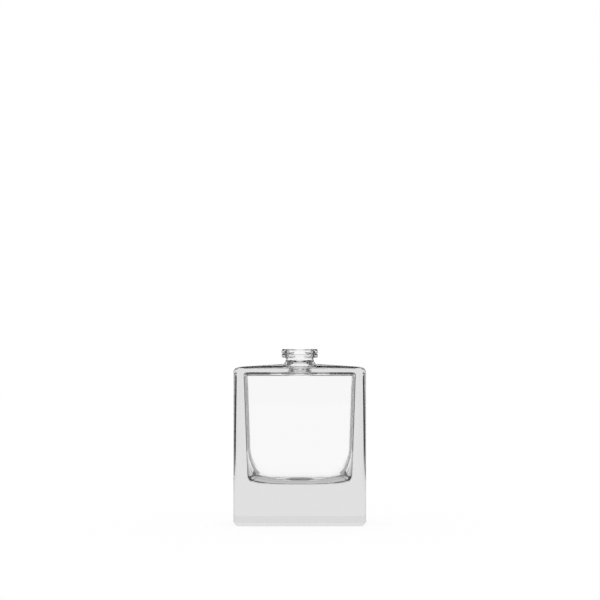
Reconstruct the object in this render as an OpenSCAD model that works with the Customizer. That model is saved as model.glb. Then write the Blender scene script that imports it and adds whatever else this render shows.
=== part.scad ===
// Glass flacon of the 30 ml class: a rectangular heavy-base body, blown and pressed in one piece,
// with a 15 mm crimp neck. It is bare: no pump, ferrule, cap or label is fitted.
// Millimetres. The origin is the centre of the base, on the surface that the flacon stands on.
// +Z is up, X runs across the broad faces, and Y runs through the glass from front to back.

/* [Body] */
// Width across the broad face
body_w = 53.9; // [46:0.1:80]
// Depth from the front face to the back face
body_d = 25; // [23:0.5:40]
// Height of the shoulder's outer edge above the base
body_h = 64.3; // [45:0.1:110]
// Radius of the four upright edges
upright_r = 2; // [0.4:0.1:3]
// Radius of the two ends of the heel, seen from the front
heel_end_r = 1.4; // [0.4:0.1:3]
// Radius of the long front and back edges of the heel
heel_edge_r = 0.4; // [0.3:0.1:1.5]
// Radius of the two ends of the shoulder, seen from the front
shoulder_end_r = 1.7; // [0.6:0.1:3]
// Radius of the long front and back edges of the shoulder
shoulder_edge_r = 0.6; // [0.3:0.1:1.5]
// Rise of the domed shoulder from its outer edge to its middle
shoulder_rise = 1.4; // [0.3:0.1:4]
// Width of the flat rim that the flacon stands on, measured in from the body's sides
rim_w = 2.4; // [1.5:0.1:6]
// Height of the push-up inside that rim
push_up = 0.4; // [0.4:0.05:1.5]

/* [Crimp neck] */
// Diameter of the two rings that a crimped ferrule grips
ring_d = 15; // [13:0.1:20]
// Height of the upper ring
upper_ring_h = 1.9; // [1.4:0.1:2.6]
// Height of the lower ring
lower_ring_h = 1.7; // [1.2:0.1:2.6]
// Radius of the rings' outer edges
ring_edge_r = 0.7; // [0.3:0.05:0.8]
// Depth of the groove between the rings
groove_depth = 0.45; // [0.2:0.05:0.6]
// Outer diameter of the neck below the rings
neck_d = 11.7; // [11.2:0.1:13]
// Height of the mouth above the middle of the shoulder
neck_h = 6.1; // [5:0.1:12]
// Radius where the neck runs into the shoulder
neck_foot_r = 1.2; // [0.5:0.1:2.2]
// Diameter of the bore at the mouth
bore_d = 10; // [8.6:0.1:10.2]
// Depth of the bore, from the mouth to the step where it narrows
bore_depth = 4.6; // [2:0.1:5.2]
// Radius of the lip at the mouth, inside
lip_r = 0.5; // [0.2:0.1:0.9]
// Diameter of the throat, which runs on from the bore into the cavity
throat_d = 7.6; // [5:0.1:7.8]
// Radius of the step's two edges
step_r = 0.3; // [0.1:0.05:0.4]
// Radius where the throat opens into the cavity
throat_foot_r = 2; // [0.5:0.1:2.4]

/* [Cavity] */
// Thickness of the glass between the cavity and the shoulder's outer edge
shoulder_t = 1.9; // [1.5:0.1:5]
// Thickness of the solid base
base_t = 16.4; // [4:0.1:25]
// Thickness of the end walls at the top of the cavity
end_wall = 4; // [2:0.1:7]
// How much thicker each end wall is at the foot of the cavity
end_draft = 1.4; // [0:0.1:3]
// Thickness of the front and back walls
face_wall = 3; // [1.8:0.1:3.4]
// Radius of the cavity's upright edges, seen from above
cavity_upright_r = 1.8; // [1:0.1:5]
// Radius of the cavity's lower corners, seen from the front
cavity_corner_r = 5; // [1:0.1:9]
// Radius of the cavity's upper corners, seen from the front
cavity_crown_r = 1.2; // [0.5:0.1:4]
// Radius that rounds the cavity's floor into the front and back walls
cavity_floor_r = 4; // [1:0.1:8]
// Radius that rounds the cavity's ceiling into the front and back walls
cavity_ceiling_r = 1.6; // [0.5:0.1:4]

/* [Hidden] */
$fn = 96;

// Spare length that carries a cut clear through a face
clear = 1;
// Width of level glass left outside the foot of the neck
land_margin = 0.1;
dome_z = body_h + shoulder_rise;
mouth_z = dome_z + neck_h;
ceiling_z = body_h - shoulder_t;
cavity_h = ceiling_z - base_t;
ring_r = ring_d / 2;
neck_r = neck_d / 2;
// Half of the level land in the middle of the shoulder, just wider than the foot of the neck
land_r = neck_r + neck_foot_r + land_margin;
bore_r = bore_d / 2;
throat_r = throat_d / 2;
step_z = mouth_z - bore_depth;
// The root of the groove between the rings
groove_r = ring_r - groove_depth;
lower_ring_top = mouth_z - upper_ring_h;
lower_ring_foot = lower_ring_top - lower_ring_h;

// Radius of an arc that rises by rise over half a chord
function arc_r(half_chord, rise) = (half_chord * half_chord + rise * rise) / (2 * rise);

// A rectangle centred on X, with its foot at y0, its upper corners at r_top and its lower ones at r_foot
module round_panel(w, y0, y1, r_foot, r_top) {
    difference() {
        translate([-w / 2, y0]) square([w, y1 - y0]);
        for (side = [-1, 1]) {
            if (r_foot > 0) corner_waste(side * w / 2, y0, side, -1, r_foot);
            if (r_top > 0) corner_waste(side * w / 2, y1, side, 1, r_top);
        }
    }
}

// What a rounded corner at [x, y] leaves out, towards sx and sy
module corner_waste(x, y, sx, sy, r) {
    translate([x, y]) scale([sx, sy]) translate([-r, -r]) difference() {
        square(r + clear);
        circle(r);
    }
}

// A front view, drawn in X and Z, carried through the depth
module through_depth(depth) rotate([90, 0, 0]) linear_extrude(depth, center = true) children();

// A side view, drawn in Y and Z, carried across the width
module across_width(width) rotate([90, 0, 90]) linear_extrude(width, center = true) children();

// One upright view of the block: a rounded heel, upright sides, and a shoulder that is level at dome_z round
// the foot of the neck and falls in an arc to body_h where it would meet the sides. Arcs of top_r join them.
module block_view(w, foot_r, top_r) {
    slope_r = arc_r(w / 2 - land_r, shoulder_rise);
    slope_z = dome_z - slope_r;
    edge_x = w / 2 - top_r;
    edge_z = slope_z + sqrt(pow(slope_r - top_r, 2) - pow(edge_x - land_r, 2));
    // Where the arc of the shoulder and the arc of its edge touch
    touch_x = land_r + (edge_x - land_r) * slope_r / (slope_r - top_r);
    union() {
        round_panel(w, 0, edge_z, foot_r, 0);
        translate([-land_r, foot_r]) square([2 * land_r, dome_z - foot_r]);
        for (side = [-1, 1]) scale([side, 1]) {
            translate([edge_x, edge_z]) circle(top_r);
            intersection() {
                translate([land_r, slope_z]) circle(slope_r, $fn = 720);
                translate([land_r, foot_r]) square([touch_x - land_r, dome_z]);
            }
        }
    }
}

// The block of glass, where its plan, its front view and its side view meet
module outer_block() {
    intersection() {
        linear_extrude(dome_z + clear) round_panel(body_w, -body_d / 2, body_d / 2, upright_r, upright_r);
        through_depth(body_d + 2 * clear) block_view(body_w, heel_end_r, shoulder_end_r);
        across_width(body_w + 2 * clear) block_view(body_d, heel_edge_r, shoulder_edge_r);
    }
}

// One upright view of the push-up under the base: an arc that springs from the inside of the rim
module push_up_view(w) {
    half_chord = w / 2 - rim_w;
    r = arc_r(half_chord, push_up);
    intersection() {
        translate([0, push_up - r]) circle(r, $fn = 720);
        translate([-half_chord, 0]) square([2 * half_chord, 2 * push_up]);
    }
}

// The push-up, where its two views meet
module base_push_up() {
    intersection() {
        through_depth(body_d) push_up_view(body_w);
        across_width(body_w) push_up_view(body_d);
    }
}

// The neck with its two rings and its flared foot, as a half section turned about Z
module neck() {
    rotate_extrude() {
        translate([0, body_h - shoulder_t / 2]) square([neck_r, mouth_z - body_h + shoulder_t / 2]);
        ring_section(lower_ring_top, upper_ring_h);
        ring_section(lower_ring_foot, lower_ring_h);
        translate([0, lower_ring_foot + lower_ring_h / 2])
            square([groove_r, (lower_ring_h + upper_ring_h) / 2]);
        difference() {
            translate([0, body_h - shoulder_t / 2])
                square([neck_r + neck_foot_r, shoulder_rise + shoulder_t / 2 + neck_foot_r]);
            translate([neck_r + neck_foot_r, dome_z + neck_foot_r]) circle(neck_foot_r);
        }
    }
}

// Half of a ring's section, with a narrow land between its rounded edges
module ring_section(foot_z, h) {
    intersection() {
        round_panel(ring_d, foot_z, foot_z + h, ring_edge_r, ring_edge_r);
        translate([0, foot_z]) square([ring_r, h]);
    }
}

// The bore with its rounded lip, and the throat with the flare that opens into the cavity
module bore() {
    rotate_extrude() {
        difference() {
            union() {
                translate([0, step_z]) square([bore_r, bore_depth + clear]);
                translate([0, mouth_z - lip_r]) square([bore_r + lip_r, lip_r + clear]);
                translate([0, ceiling_z - clear]) square([throat_r + step_r, step_z - ceiling_z + clear]);
            }
            translate([bore_r + lip_r, mouth_z - lip_r]) circle(lip_r);
            translate([throat_r + step_r, step_z - step_r]) circle(step_r);
            translate([throat_r, ceiling_z - 2 * clear])
                square([2 * step_r, step_z - step_r - ceiling_z + 2 * clear]);
            translate([bore_r, step_z]) scale([1, -1]) translate([-step_r, -step_r]) difference() {
                square(step_r + clear);
                circle(step_r);
            }
        }
        difference() {
            translate([0, ceiling_z - clear]) square([throat_r + throat_foot_r, throat_foot_r + clear]);
            translate([throat_r + throat_foot_r, ceiling_z + throat_foot_r]) circle(throat_foot_r);
        }
    }
}

// The cavity seen from the front: end walls with draft, tight upper corners and full lower ones
module cavity_front_view() {
    half_top = body_w / 2 - end_wall;
    half_foot = half_top - end_draft;
    lean = atan(end_draft / cavity_h);
    // Where the end wall stands at height z
    function half_at(z) = half_foot + end_draft * (z - base_t) / cavity_h;
    foot_x = half_at(base_t + cavity_corner_r) - cavity_corner_r / cos(lean);
    crown_x = half_at(ceiling_z - cavity_crown_r) - cavity_crown_r / cos(lean);
    foot_c = [foot_x, base_t + cavity_corner_r];
    crown_c = [crown_x, ceiling_z - cavity_crown_r];
    foot_t = foot_c + cavity_corner_r * [cos(lean), -sin(lean)];
    crown_t = crown_c + cavity_crown_r * [cos(lean), -sin(lean)];
    half = [[foot_c.x, base_t], foot_c, foot_t, crown_t, crown_c, [crown_c.x, ceiling_z]];
    union() {
        polygon(concat(half, [for (i = [len(half) - 1:-1:0]) [-half[i].x, half[i].y]]));
        for (side = [-1, 1]) {
            translate([side * foot_c.x, foot_c.y]) circle(cavity_corner_r);
            translate([side * crown_c.x, crown_c.y]) circle(cavity_crown_r);
        }
    }
}

// The blown cavity, where its three views meet
module cavity() {
    cavity_w = body_w - 2 * end_wall;
    cavity_d = body_d - 2 * face_wall;
    intersection() {
        translate([0, 0, base_t - clear]) linear_extrude(cavity_h + 2 * clear)
            round_panel(cavity_w, -cavity_d / 2, cavity_d / 2, cavity_upright_r, cavity_upright_r);
        through_depth(body_d) cavity_front_view();
        across_width(body_w) round_panel(cavity_d, base_t, ceiling_z, cavity_floor_r, cavity_ceiling_r);
    }
}

module glass_bottle() {
    color([0.86, 0.88, 0.88, 0.4]) difference() {
        union() {
            outer_block();
            neck();
        }
        cavity();
        bore();
        base_push_up();
    }
}

glass_bottle();
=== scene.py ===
import math

import bmesh
import bpy
from mathutils import Matrix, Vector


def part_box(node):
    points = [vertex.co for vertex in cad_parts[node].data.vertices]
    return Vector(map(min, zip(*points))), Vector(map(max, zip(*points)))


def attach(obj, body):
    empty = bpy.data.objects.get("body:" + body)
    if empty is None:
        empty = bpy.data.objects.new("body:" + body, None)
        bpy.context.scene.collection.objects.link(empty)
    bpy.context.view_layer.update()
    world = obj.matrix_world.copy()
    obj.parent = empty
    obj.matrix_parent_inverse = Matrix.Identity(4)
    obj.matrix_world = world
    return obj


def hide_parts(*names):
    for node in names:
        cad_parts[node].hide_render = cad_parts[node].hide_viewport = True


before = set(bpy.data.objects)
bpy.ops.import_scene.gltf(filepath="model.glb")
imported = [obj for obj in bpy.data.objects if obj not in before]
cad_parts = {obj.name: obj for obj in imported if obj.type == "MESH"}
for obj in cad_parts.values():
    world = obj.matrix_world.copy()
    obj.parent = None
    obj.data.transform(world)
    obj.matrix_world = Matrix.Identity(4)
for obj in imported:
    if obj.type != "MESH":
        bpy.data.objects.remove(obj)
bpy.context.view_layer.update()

# ---------------------------------------------------------------------------------------------------
# The flacon: one piece of clear soda-lime glass, pressed and blown in a two-part mould and then
# fire-polished, so that its edges are soft and its cavity, which touched no tool, is softer still.
# Its wall is followed as one sheet: from the middle of the base out and up to the mouth, then in.

# Sizes are millimetres until the finished mesh is scaled
MM = 0.001
low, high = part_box("glass_bottle")
BODY_W = (high[0] - low[0]) / MM
BODY_D = (high[1] - low[1]) / MM
MOUTH_Z = (high[2] - low[2]) / MM

# The body: the mould leaves soft corners at the two ends and tight ones along the broad faces. It
# stands on a rim, inside which the base is pushed up, and its shoulder is a low hipped roof.
BODY_H = 64.1
UPRIGHT_R = 2.5
RIM_W = 2.4
RIM_CORNER_R = 2.0
PUSH_UP = 0.4
HEEL_END_R = 1.6
HEEL_EDGE_R = 0.03
HEEL_CUT = 0.8
SHOULDER_END_R = 1.7
SHOULDER_EDGE_R = 0.5
RIDGE_RISE = 2.0
RIDGE_END_RISE = 0.3
RIDGE_R_SHARE = 0.06

# The neck: a 15 mm crimp finish with two rings, a bore for the pump and a narrower throat below it
RING_R = 7.5
UPPER_RING_H = 1.9
LOWER_RING_H = 1.7
RING_EDGE_R = 0.7
GROOVE_DEPTH = 0.45
RING_FILLET = 0.12
NECK_R = 5.85
NECK_FOOT_R = 1.2
LIP_R = 0.5
BORE_R = 5.2
BORE_STEP_R = 0.6
THROAT_TOP = 66.1
THROAT_R = 4.0
THROAT_FOOT_R = 2.4

# The cavity: blown, so it narrows towards the floor and its lower corners are drawn far in
CEILING_Z = 62.4
FLOOR_Z = 16.45
END_WALL = 4.05
END_DRAFT = 1.6
FACE_WALL = 2.5
CAVITY_UPRIGHT_R = 1.7
CAVITY_BUBBLE_X = 14.0
CAVITY_BUBBLE_Y = 6.0
CAVITY_BUBBLE_H = 14.5
CAVITY_CORNER_R = 3.6
CAVITY_CROWN_R = 1.2
CAVITY_FLOOR_R = 4.4
CAVITY_CEILING_R = 1.6

# Points along a quarter of each ring of the wall, from the X axis round to the Y axis
END_POINTS = 14
CORNER_POINTS = 18
FACE_POINTS = 28
QUARTER = END_POINTS + CORNER_POINTS + FACE_POINTS


def round_plan(half_x, half_y, corner_x, corner_y):
    """A quarter of a rectangle with a round corner, as points that crowd towards the corner."""
    corner_x, corner_y = min(corner_x, 0.999 * half_x), min(corner_y, 0.999 * half_y)
    points = []
    for k in range(END_POINTS):
        points.append((half_x, (half_y - corner_y) * math.sin(math.pi / 2 * k / END_POINTS)))
    for k in range(CORNER_POINTS):
        angle = math.pi / 2 * k / CORNER_POINTS
        points.append((half_x - corner_x * (1 - math.cos(angle)),
                       half_y - corner_y * (1 - math.sin(angle))))
    for k in range(FACE_POINTS + 1):
        points.append(((half_x - corner_x) * (1 - math.sin(math.pi / 2 * k / FACE_POINTS)), half_y))
    return points


BODY_PLAN = round_plan(BODY_W / 2, BODY_D / 2, UPRIGHT_R, UPRIGHT_R)


def circle_plan(radius):
    """A quarter circle whose points lie about where the body's own points look out from the middle."""
    points = []
    for x, y in BODY_PLAN:
        angle = (math.atan2(y, x) + math.atan2(y / BODY_D, x / BODY_W)) / 2
        points.append((radius * math.cos(angle), radius * math.sin(angle)))
    return points


def blend_plan(first, second, share):
    """The plan that lies a share of the way from the first one to the second."""
    return [(a[0] + (b[0] - a[0]) * share, a[1] + (b[1] - a[1]) * share) for a, b in zip(first, second)]


def arc(centre_r, centre_z, radius, start, end, steps):
    """Points (radius, height) on an arc, from start to end in degrees."""
    angles = [math.radians(start + (end - start) * k / steps) for k in range(steps + 1)]
    return [(centre_r + radius * math.cos(a), centre_z + radius * math.sin(a)) for a in angles]


wall = []


def ring(plan, height):
    """Adds one ring to the wall. Its height is a number or a function of x and y."""
    wall.append([(x, y, height(x, y) if callable(height) else height) for x, y in plan])


def push_up(x, y):
    """The shallow hollow under the base, deepest in the middle and nothing at the rim."""
    along = max(0, 1 - (x / (BODY_W / 2 - RIM_W)) ** 2)
    across = max(0, 1 - (y / (BODY_D / 2 - RIM_W)) ** 2)
    return PUSH_UP * along * across


def shoulder(x, y):
    """The shoulder is a low roof: its ridge falls to the two ends, and its slopes to the long edges."""
    along = min(1, abs(x) / (BODY_W / 2))
    across = min(1, abs(y) / (BODY_D / 2))
    bend = math.hypot(across, RIDGE_R_SHARE) - RIDGE_R_SHARE
    slope = 1 - bend / (math.hypot(1, RIDGE_R_SHARE) - RIDGE_R_SHARE)
    return BODY_H + (RIDGE_END_RISE + (RIDGE_RISE - RIDGE_END_RISE) * (1 - along)) * slope


# The base, its rim and the heel. Each point of a ring has a share of 1 on an end of the body, of 0 on
# a broad face and between them round the corner, and takes its edge radius by that share.
for share in (0.002, 0.15, 0.35, 0.55, 0.75, 0.9, 0.97, 1):
    ring(round_plan((BODY_W / 2 - RIM_W) * share, (BODY_D / 2 - RIM_W) * share,
                    RIM_CORNER_R * share, RIM_CORNER_R * share), push_up)
for share in (0.3, 0.6, 0.9):
    inset_x, inset_y = RIM_W + (HEEL_END_R - RIM_W) * share, RIM_W + (HEEL_EDGE_R - RIM_W) * share
    ring(round_plan(BODY_W / 2 - inset_x, BODY_D / 2 - inset_y, UPRIGHT_R, UPRIGHT_R), 0)
turn_share = [min(1, max(0, (k - END_POINTS) / CORNER_POINTS)) for k in range(QUARTER + 1)]
end_share = [math.cos(math.pi / 2 * share) ** 2 for share in turn_share]
HEEL_STEPS = 12
for step in range(HEEL_STEPS + 1):
    angle = math.pi / 2 * step / HEEL_STEPS
    points = []
    for (x, y), end in zip(BODY_PLAN, end_share):
        radius = HEEL_EDGE_R + (HEEL_END_R - HEEL_EDGE_R) * end
        across = 1 - HEEL_END_R * (1 - math.sin(angle)) / (BODY_W / 2)
        deep = 1 - HEEL_EDGE_R * (1 - math.sin(angle)) / (BODY_D / 2)
        cut = HEEL_CUT * end * (math.sin(angle) + math.cos(angle) - 1) / 2
        across -= cut * HEEL_END_R / (BODY_W / 2)
        points.append((x * across, y * deep, radius * (1 - math.cos(angle) + cut)))
    wall.append(points)
heel_ring = wall[-1]

# The upright sides, and the soft edges where they turn over into the shoulder
EDGE_STEPS = 12
edge_rings = [[] for step in range(EDGE_STEPS + 1)]
for (x, y), end in zip(BODY_PLAN, end_share):
    face = 1 - end
    fall = end * (RIDGE_RISE - RIDGE_END_RISE) / (BODY_W / 2)
    fall += face * (shoulder(x, 0) - BODY_H) / (BODY_D / 2)
    radius = end * SHOULDER_END_R + face * SHOULDER_EDGE_R
    full = math.pi / 2 - math.atan(fall)
    for step in range(EDGE_STEPS, -1, -1):
        angle = full * step / EDGE_STEPS
        edge_x = x * (1 - SHOULDER_END_R * (1 - math.cos(angle)) / (BODY_W / 2))
        edge_y = y * (1 - SHOULDER_EDGE_R * (1 - math.cos(angle)) / (BODY_D / 2))
        if step == EDGE_STEPS:
            top = shoulder(edge_x, edge_y)
        edge_rings[step].append((edge_x, edge_y, top - radius * (math.sin(full) - math.sin(angle))))
for share in (0.01, 0.05, 0.15, 0.3, 0.5, 0.7, 0.85, 0.95, 0.99):
    wall.append([(x, y, foot + (top - foot) * share)
                 for (x, y, top), (_, _, foot) in zip(edge_rings[0], heel_ring)])
wall += edge_rings

# The shoulder, in to the foot of the neck
edge_plan = [(x, y) for x, y, z in edge_rings[-1]]
foot_plan = circle_plan(NECK_R + NECK_FOOT_R)
for share in (0.01, 0.04, 0.1, 0.18, 0.28, 0.38, 0.48, 0.58, 0.68, 0.78, 0.87, 0.94, 0.98, 1):
    ring(blend_plan(edge_plan, foot_plan, share), shoulder)

# The neck, its two rings, the mouth and the bore, as one profile
foot_top = shoulder(0, 0) + NECK_FOOT_R
for r, z in arc(NECK_R + NECK_FOOT_R, foot_top, NECK_FOOT_R, -90, -180, 14)[1:]:
    low_share = (foot_top - z) / NECK_FOOT_R
    ring(circle_plan(r), lambda x, y: z - (shoulder(0, 0) - shoulder(x, y)) * low_share)
ring_top = MOUTH_Z - UPPER_RING_H
ring_foot = ring_top - LOWER_RING_H
lip_c = RING_R - RING_EDGE_R
groove_turn = math.degrees(math.acos((RING_EDGE_R - GROOVE_DEPTH) / RING_EDGE_R))
profile = [(NECK_R, ring_foot - RING_FILLET - 0.1)]
profile += arc(NECK_R + RING_FILLET, ring_foot - RING_FILLET, RING_FILLET, 180, 90, 5)
profile += arc(lip_c, ring_foot + RING_EDGE_R, RING_EDGE_R, -90, 0, 9)
profile += arc(lip_c, ring_top - RING_EDGE_R, RING_EDGE_R, 0, groove_turn, 7)
profile += arc(lip_c, ring_top + RING_EDGE_R, RING_EDGE_R, -groove_turn, 0, 7)
profile += arc(lip_c, MOUTH_Z - RING_EDGE_R, RING_EDGE_R, 0, 90, 9)
profile += arc(BORE_R + LIP_R, MOUTH_Z - LIP_R, LIP_R, 90, 180, 8)
step_r = (BORE_R - THROAT_R) / 2
profile += [(BORE_R, MOUTH_Z - LIP_R - 0.1), (BORE_R, THROAT_TOP + 2 * BORE_STEP_R + 0.1)]
for k in range(13):
    turn = math.pi * k / 12
    swing = math.cos(turn)
    profile.append(((BORE_R + THROAT_R) / 2 + step_r * swing, THROAT_TOP + BORE_STEP_R * (1 + swing)))
foot_z = CEILING_Z + THROAT_FOOT_R
profile += [(THROAT_R, THROAT_TOP - 0.1), (THROAT_R, foot_z + 0.1)]
profile += arc(THROAT_R + THROAT_FOOT_R, foot_z, THROAT_FOOT_R, 180, 270, 14)
for r, z in profile:
    ring(circle_plan(r), z)

# The cavity: its ceiling, its four walls and its floor
cavity_h = CEILING_Z - FLOOR_Z
half_top = BODY_W / 2 - END_WALL
half_deep = BODY_D / 2 - FACE_WALL


def half_wide(z):
    """Half the cavity's width at height z, with its rounded crown and its full lower corners."""
    wide = half_top - END_DRAFT * (CEILING_Z - z) / cavity_h
    over = max(0, z - (CEILING_Z - CAVITY_CROWN_R))
    under = max(0, FLOOR_Z + CAVITY_CORNER_R - z)
    wide -= CAVITY_CROWN_R - math.sqrt(max(0, CAVITY_CROWN_R**2 - over**2))
    return wide - (CAVITY_CORNER_R - math.sqrt(max(0, CAVITY_CORNER_R**2 - under**2)))


def half_thick(z):
    """Half the cavity's depth at height z."""
    over = max(0, z - (CEILING_Z - CAVITY_CEILING_R))
    under = max(0, FLOOR_Z + CAVITY_FLOOR_R - z)
    deep = half_deep - (CAVITY_CEILING_R - math.sqrt(max(0, CAVITY_CEILING_R**2 - over**2)))
    return deep - (CAVITY_FLOOR_R - math.sqrt(max(0, CAVITY_FLOOR_R**2 - under**2)))


def cavity_plan(z):
    """The plan at height z. Its corners grow towards the floor, as the bubble drew them in."""
    low_share = max(0, 1 - (z - FLOOR_Z) / CAVITY_BUBBLE_H)
    corner_x = CAVITY_UPRIGHT_R + CAVITY_BUBBLE_X * low_share**2
    corner_y = CAVITY_UPRIGHT_R + CAVITY_BUBBLE_Y * low_share**2
    return round_plan(half_wide(z), half_thick(z), corner_x, corner_y)


flare_plan = circle_plan(THROAT_R + THROAT_FOOT_R)
for share in (0.03, 0.15, 0.35, 0.55, 0.75, 0.9, 0.98):
    ring(blend_plan(flare_plan, cavity_plan(CEILING_Z), share), CEILING_Z)
for r, z in arc(0, CEILING_Z - CAVITY_CEILING_R, CAVITY_CEILING_R, 90, 0, 20):
    ring(cavity_plan(z), z)
upper, lower = CEILING_Z - CAVITY_CEILING_R, FLOOR_Z + CAVITY_FLOOR_R
for share in (0.01, 0.05, 0.15, 0.3, 0.5, 0.64, 0.7, 0.75, 0.8, 0.84, 0.88, 0.92, 0.96, 0.99):
    ring(cavity_plan(upper + (lower - upper) * share), upper + (lower - upper) * share)
for r, z in arc(0, lower, CAVITY_FLOOR_R, 0, -90, 36):
    ring(cavity_plan(z), z)
floor_plan = cavity_plan(FLOOR_Z)
for share in (0.97, 0.8, 0.55, 0.3, 0.1, 0.002):
    ring([(x * share, y * share) for x, y in floor_plan], FLOOR_Z)

# A grid is laid over the rings, mirrored to all four quarters and closed at both poles
bm = bmesh.new()
bmesh.ops.create_grid(bm, x_segments=QUARTER, y_segments=len(wall) - 1, size=0.5)
for vert in bm.verts:
    point = round((vert.co.x + 0.5) * QUARTER)
    level = round((vert.co.y + 0.5) * (len(wall) - 1))
    vert.co = wall[level][point]
bmesh.ops.mirror(bm, geom=bm.verts[:] + bm.edges[:] + bm.faces[:], axis="X", merge_dist=1e-5)
bmesh.ops.mirror(bm, geom=bm.verts[:] + bm.edges[:] + bm.faces[:], axis="Y", merge_dist=1e-5)
bmesh.ops.holes_fill(bm, edges=[edge for edge in bm.edges if edge.is_boundary], sides=0)
bmesh.ops.scale(bm, vec=(MM, MM, MM), verts=bm.verts)
bmesh.ops.remove_doubles(bm, verts=bm.verts, dist=1e-7)
bmesh.ops.recalc_face_normals(bm, faces=bm.faces)
mesh = bpy.data.meshes.new("flacon_glass")
bm.to_mesh(mesh)
bm.free()
mesh.shade_smooth()
flacon = bpy.data.objects.new("flacon_glass", mesh)
bpy.context.scene.collection.objects.link(flacon)
smooth = flacon.modifiers.new("flat faces stay flat", "WEIGHTED_NORMAL")
smooth.mode = "FACE_AREA"
smooth.weight = 100
smooth.keep_sharp = False


def linear(hex_colour):
    """An sRGB hex colour as linear RGBA."""
    parts = [int(hex_colour[k:k + 2], 16) / 255 for k in (1, 3, 5)]
    return (*[c / 12.92 if c <= 0.04045 else ((c + 0.055) / 1.055) ** 2.4 for c in parts], 1)


def add_node(tree, kind, settings=None, **values):
    """A new node: settings are its own properties, and values are a socket's number, colour or link."""
    node = tree.nodes.new(kind)
    for name, value in (settings or {}).items():
        setattr(node, name, value)
    for name, value in values.items():
        by_number = name[0] == "i" and name[1:].isdigit()
        socket = node.inputs[int(name[1:]) if by_number else name.replace("_", " ")]
        if isinstance(value, bpy.types.NodeSocket):
            tree.links.new(value, socket)
        else:
            socket.default_value = value
    return node


# Soda-lime glass: it swallows about 1.2% of the light in each millimetre, and its faces keep the
# long, very shallow swell of the mould and of the fire that polished them
GLASS_IOR = 1.5
ABSORB_PER_MM = 0.0118
SWELL_LENGTH = 14.0
SWELL_DEPTH = 0.02
glass = bpy.data.materials.new("fire_polished_soda_lime_glass")
glass.use_nodes = True
tree = glass.node_tree
tree.nodes.clear()
where = add_node(tree, "ShaderNodeTexCoord")
swell = add_node(tree, "ShaderNodeTexNoise", Vector=where.outputs["Object"],
                 Scale=1 / (SWELL_LENGTH * MM), Detail=1.0)
face = add_node(tree, "ShaderNodeBump", Height=swell.outputs["Fac"], Distance=SWELL_DEPTH * MM,
                Strength=1.0)
surface = add_node(tree, "ShaderNodeBsdfPrincipled", Base_Color=linear("#FFFFFF"), Roughness=0.0,
                   IOR=GLASS_IOR, Transmission_Weight=1.0, Normal=face.outputs[0])
inside = add_node(tree, "ShaderNodeVolumeAbsorption", Color=linear("#000000"),
                  Density=ABSORB_PER_MM / MM)
add_node(tree, "ShaderNodeOutputMaterial", Surface=surface.outputs[0], Volume=inside.outputs[0])
mesh.materials.append(glass)

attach(flacon, "root")
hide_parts("glass_bottle")

# ---------------------------------------------------------------------------------------------------
# The table: a white laminate board, pure white to the camera but for the flacon's soft shadow. To rays
# from the glass it is painted shade, with a painted light band on each side behind the flacon and
# paler painted light beside it and round its foot, and the glass shows three sheets of white paper:
# behind, under and in front of the flacon, the one under it greyed as a painted shadow.

# Sizes in metres, directions in degrees from straight behind the flacon, and tones where 1 is white
TABLE_W = 4.0
TABLE_BACK = 2.0
TABLE_GLOW = 0.9
BOARD_GAP = 0.00005
# Painted shade: the board's tone to rays from the glass wherever no painted light is
PAINTED_SHADE_TONE = 0.03
# Painted light: a glowing band on each side behind the flacon, seen only in the glass
BAND_FROM, BAND_TO = 27.0, 42.0
PAINTED_LIGHT_BAND_TONE = 0.9
# Painted light: a paler glow on the board beside the flacon, seen only in the glass
BESIDE_FROM = 83.0
PAINTED_LIGHT_BESIDE_TONE = 0.6
# Painted light: a paler glow on the board round the flacon's foot, seen only in the glass
FOOT_INNER_R, FOOT_OUTER_R = 0.18, 0.22
PAINTED_LIGHT_FOOT_TONE = 0.4
SOFT_EDGE = 1.0

SHEET_GAP = 0.00003
BACK_SHEET_HALF_W = 0.028
BACK_SHEET_END = 0.1
BACK_SHEET_WHITE = 0.93
# Painted shadow: the paper under the flacon is greyer than the other sheets
UNDER_SHEET_HALF_D = 0.006
UNDER_SHEET_PAINTED_SHADOW_TONE = 0.7
FRONT_SHEET_HALF_W = 0.2
FRONT_SHEET_END = 1.66
FRONT_SHEET_WHITE = 1.0


def flat_board(name, x0, x1, y0, y1, z):
    """A level rectangle, as an object of the set."""
    bm = bmesh.new()
    bmesh.ops.create_grid(bm, x_segments=1, y_segments=1, size=0.5)
    bmesh.ops.scale(bm, vec=(x1 - x0, y1 - y0, 1), verts=bm.verts)
    bmesh.ops.translate(bm, vec=((x0 + x1) / 2, (y0 + y1) / 2, z), verts=bm.verts)
    flat = bpy.data.meshes.new(name)
    bm.to_mesh(flat)
    bm.free()
    board = bpy.data.objects.new(name, flat)
    bpy.context.scene.collection.objects.link(board)
    return board


def cosine(degrees):
    return math.cos(math.radians(degrees))


table = flat_board("table_top", -TABLE_W / 2, TABLE_W / 2, -FRONT_SHEET_END, TABLE_BACK, -BOARD_GAP)
laminate_and_painted_light = bpy.data.materials.new("white_laminate_with_painted_light_and_shade")
laminate_and_painted_light.use_nodes = True
tree = laminate_and_painted_light.node_tree
tree.nodes.clear()
SOFT = {"interpolation_type": "SMOOTHSTEP"}
LIGHTER = {"operation": "MAXIMUM"}
place = add_node(tree, "ShaderNodeNewGeometry")
flat_place = add_node(tree, "ShaderNodeVectorMath", {"operation": "MULTIPLY"},
                      i0=place.outputs["Position"], i1=(1, 1, 0))
reach = add_node(tree, "ShaderNodeVectorMath", {"operation": "LENGTH"}, i0=flat_place.outputs[0])
heading = add_node(tree, "ShaderNodeVectorMath", {"operation": "NORMALIZE"}, i0=flat_place.outputs[0])
heading = add_node(tree, "ShaderNodeSeparateXYZ", i0=heading.outputs[0])
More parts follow.
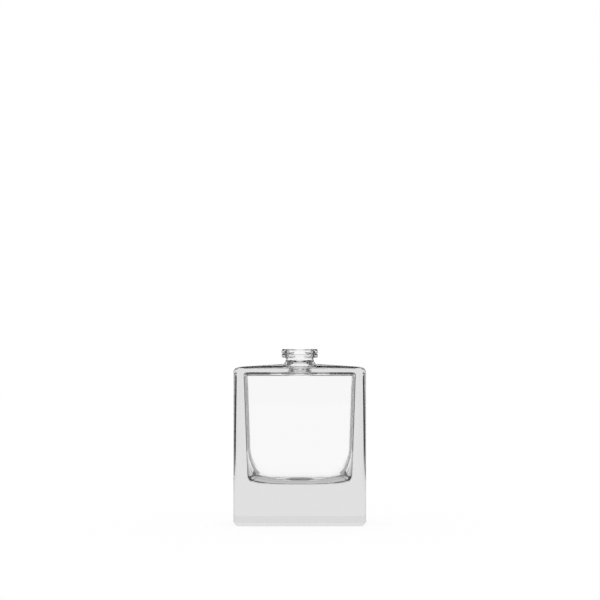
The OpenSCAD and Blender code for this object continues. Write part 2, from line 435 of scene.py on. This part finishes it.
past_start = add_node(tree, "ShaderNodeMapRange", SOFT, Value=heading.outputs["Y"],
                      From_Min=cosine(BAND_FROM - SOFT_EDGE), From_Max=cosine(BAND_FROM + SOFT_EDGE))
band = add_node(tree, "ShaderNodeMapRange", SOFT, Value=heading.outputs["Y"],
                From_Min=cosine(BAND_TO + SOFT_EDGE), From_Max=cosine(BAND_TO - SOFT_EDGE),
                To_Max=PAINTED_LIGHT_BAND_TONE)
beside = add_node(tree, "ShaderNodeMapRange", SOFT, Value=heading.outputs["Y"],
                  From_Min=cosine(BESIDE_FROM + SOFT_EDGE), From_Max=cosine(BESIDE_FROM - SOFT_EDGE),
                  To_Min=PAINTED_LIGHT_BESIDE_TONE, To_Max=PAINTED_SHADE_TONE)
foot = add_node(tree, "ShaderNodeMapRange", SOFT, Value=reach.outputs["Value"],
                From_Min=FOOT_INNER_R, From_Max=FOOT_OUTER_R, To_Min=PAINTED_LIGHT_FOOT_TONE, To_Max=PAINTED_SHADE_TONE)
tone = add_node(tree, "ShaderNodeMath", LIGHTER, i0=beside.outputs[0], i1=foot.outputs[0])
tone = add_node(tree, "ShaderNodeMath", LIGHTER, i0=tone.outputs[0], i1=band.outputs[0])
# Painted shade: straight behind the flacon the glass sees a dark board
painted_shade_board = add_node(tree, "ShaderNodeBsdfDiffuse", Color=linear("#303030"))
# Painted light: elsewhere the board glows in the glass at the painted tones above, though it is no lamp
lit = add_node(tree, "ShaderNodeEmission", Color=linear("#FFFFFF"), Strength=tone.outputs[0])
in_glass = add_node(tree, "ShaderNodeMixShader", i0=past_start.outputs[0], i1=painted_shade_board.outputs[0],
                    i2=lit.outputs[0])
seen = add_node(tree, "ShaderNodeLightPath")
glow = add_node(tree, "ShaderNodeEmission", Color=linear("#FFFFFF"), Strength=1.0)
matt = add_node(tree, "ShaderNodeBsdfDiffuse", Color=linear("#FFFFFF"))
plain = add_node(tree, "ShaderNodeMixShader", i0=TABLE_GLOW, i1=matt.outputs[0], i2=glow.outputs[0])
board = add_node(tree, "ShaderNodeMixShader", i0=seen.outputs["Is Camera Ray"], i1=in_glass.outputs[0],
                 i2=plain.outputs[0])
add_node(tree, "ShaderNodeOutputMaterial", Surface=board.outputs[0])
table.data.materials.append(laminate_and_painted_light)


def glass_only(piece, name, tone):
    """Gives a piece of the set plain white paper of this tone, which only rays from the glass see."""
    paper = bpy.data.materials.new(name)
    paper.use_nodes = True
    tree = paper.node_tree
    tree.nodes.clear()
    white = add_node(tree, "ShaderNodeEmission", Color=linear("#FFFFFF"), Strength=tone)
    add_node(tree, "ShaderNodeOutputMaterial", Surface=white.outputs[0])
    piece.data.materials.append(paper)
    piece.visible_camera = False
    piece.visible_diffuse = False
    piece.visible_shadow = False


face_y = BODY_D / 2 * MM
# The sheet under the flacon carries a painted shadow: it is greyer than the other two
for name, half_w, y0, y1, tone in (
        ("behind", BACK_SHEET_HALF_W, face_y, BACK_SHEET_END, BACK_SHEET_WHITE),
        ("under", BODY_W / 2 * MM, -UNDER_SHEET_HALF_D, UNDER_SHEET_HALF_D, UNDER_SHEET_PAINTED_SHADOW_TONE),
        ("before", FRONT_SHEET_HALF_W, -FRONT_SHEET_END, -face_y, FRONT_SHEET_WHITE)):
    sheet = flat_board("paper_" + name, -half_w, half_w, y0, y1, -SHEET_GAP)
    glass_only(sheet, "white_paper_" + name, tone)

# ---------------------------------------------------------------------------------------------------
# The light: a backlit paper card close behind the flacon and hardly wider than it, with a narrow one
# and a short one above it, in a white room. The glass shows the cards, the walls in front and at the
# sides and what is low behind. Between them it shows dark, and that draws its outlines.

# Sizes in millimetres, and directions in degrees: round from straight behind, or up from level
CARD_BEHIND = 22.5
CARD_HALF_W = 27.0
CARD_FOOT, CARD_TOP = 0.5, 67.0
SLIT_HALF_W = 4.5
STRIP_HALF_W = 12.0
STRIP_FOOT, STRIP_TOP = 84.0, 130.0
WALLS_FROM = 60.0
WALLS_UP = 45.0
WALLS_EDGE = 3.0
WALLS_WHITE = 0.9
BEHIND_SIDE, BEHIND_UP = 25.0, 5.0
BEHIND_WHITE = 0.93


def light_card(name, half_w, foot, top):
    """An upright card behind the flacon, lit from its back."""
    bm = bmesh.new()
    bmesh.ops.create_grid(bm, x_segments=1, y_segments=1, size=0.5)
    bmesh.ops.scale(bm, vec=(2 * half_w * MM, (top - foot) * MM, 1), verts=bm.verts)
    bmesh.ops.rotate(bm, matrix=Matrix.Rotation(math.pi / 2, 3, "X"), verts=bm.verts)
    middle = (0, (BODY_D / 2 + CARD_BEHIND) * MM, (foot + top) / 2 * MM)
    bmesh.ops.translate(bm, vec=middle, verts=bm.verts)
    sheet = bpy.data.meshes.new(name)
    bm.to_mesh(sheet)
    bm.free()
    card = bpy.data.objects.new(name, sheet)
    bpy.context.scene.collection.objects.link(card)
    glass_only(card, "backlit_paper_" + name, 1.0)


light_card("light_card", CARD_HALF_W, CARD_FOOT, CARD_TOP)
light_card("light_slit", SLIT_HALF_W, CARD_TOP, STRIP_FOOT)
light_card("light_strip", STRIP_HALF_W, STRIP_FOOT, STRIP_TOP)


def sine(degrees):
    return math.sin(math.radians(degrees))


world = bpy.data.worlds.new("studio")
bpy.context.scene.world = world
world.use_nodes = True
tree = world.node_tree
tree.nodes.clear()
where = add_node(tree, "ShaderNodeTexCoord")
axes = add_node(tree, "ShaderNodeSeparateXYZ", i0=where.outputs["Generated"])
around = add_node(tree, "ShaderNodeMapRange", SOFT, Value=axes.outputs["Y"],
                  From_Min=cosine(WALLS_FROM - SOFT_EDGE), From_Max=cosine(WALLS_FROM + SOFT_EDGE),
                  To_Max=WALLS_WHITE)
steep = add_node(tree, "ShaderNodeMath", {"operation": "ABSOLUTE"}, i0=axes.outputs["Z"])
walls_end = add_node(tree, "ShaderNodeMapRange", SOFT, Value=steep.outputs[0],
                     From_Min=sine(WALLS_UP + WALLS_EDGE), From_Max=sine(WALLS_UP - WALLS_EDGE))
walls = add_node(tree, "ShaderNodeMath", {"operation": "MULTIPLY"}, i0=around.outputs[0],
                 i1=walls_end.outputs[0])
backward = add_node(tree, "ShaderNodeMapRange", SOFT, Value=axes.outputs["Y"],
                    From_Min=cosine(BEHIND_SIDE + SOFT_EDGE), From_Max=cosine(BEHIND_SIDE - SOFT_EDGE),
                    To_Max=BEHIND_WHITE)
low_down = add_node(tree, "ShaderNodeMapRange", SOFT, Value=axes.outputs["Z"],
                    From_Min=sine(BEHIND_UP + SOFT_EDGE), From_Max=sine(BEHIND_UP - SOFT_EDGE))
behind = add_node(tree, "ShaderNodeMath", {"operation": "MULTIPLY"}, i0=backward.outputs[0],
                  i1=low_down.outputs[0])
room = add_node(tree, "ShaderNodeMath", LIGHTER, i0=walls.outputs[0], i1=behind.outputs[0])
seen = add_node(tree, "ShaderNodeLightPath")
in_glass = add_node(tree, "ShaderNodeMath", LIGHTER, i0=seen.outputs["Is Glossy Ray"],
                    i1=seen.outputs["Is Transmission Ray"])
plain = add_node(tree, "ShaderNodeMath", {"operation": "SUBTRACT"}, i0=1.0, i1=in_glass.outputs[0])
total = add_node(tree, "ShaderNodeMath", LIGHTER, i0=room.outputs[0], i1=plain.outputs[0])
sky = add_node(tree, "ShaderNodeBackground", Strength=total.outputs[0], Color=linear("#FFFFFF"))
add_node(tree, "ShaderNodeOutputWorld", Surface=sky.outputs[0])

# ---------------------------------------------------------------------------------------------------
# The camera: a long lens, level, as high as the flacon's mouth. Its values are pixels of a square
# picture, from its top left corner, and the scale is pixels per millimetre at the neck.

IMAGE = 600
FOCAL_PX = 1800
SCALE_AT_NECK = 36.4 / 15
MIDDLE_X = 299.75
HORIZON_Y = 349
BASE_Y = 526.3
distance = FOCAL_PX / SCALE_AT_NECK
height = (BASE_Y - HORIZON_Y) * (distance - BODY_D / 2) / FOCAL_PX
lens = bpy.data.cameras.new("camera")
camera = bpy.data.objects.new("camera", lens)
bpy.context.scene.collection.objects.link(camera)
camera.location = (0, -distance * MM, height * MM)
camera.rotation_euler = (math.pi / 2, 0, 0)
lens.sensor_width = 36
lens.lens = FOCAL_PX * lens.sensor_width / IMAGE
lens.shift_x = (IMAGE / 2 - MIDDLE_X) / IMAGE
lens.shift_y = (HORIZON_Y - IMAGE / 2) / IMAGE
bpy.context.scene.camera = camera
bpy.context.scene.view_settings.view_transform = "Standard"
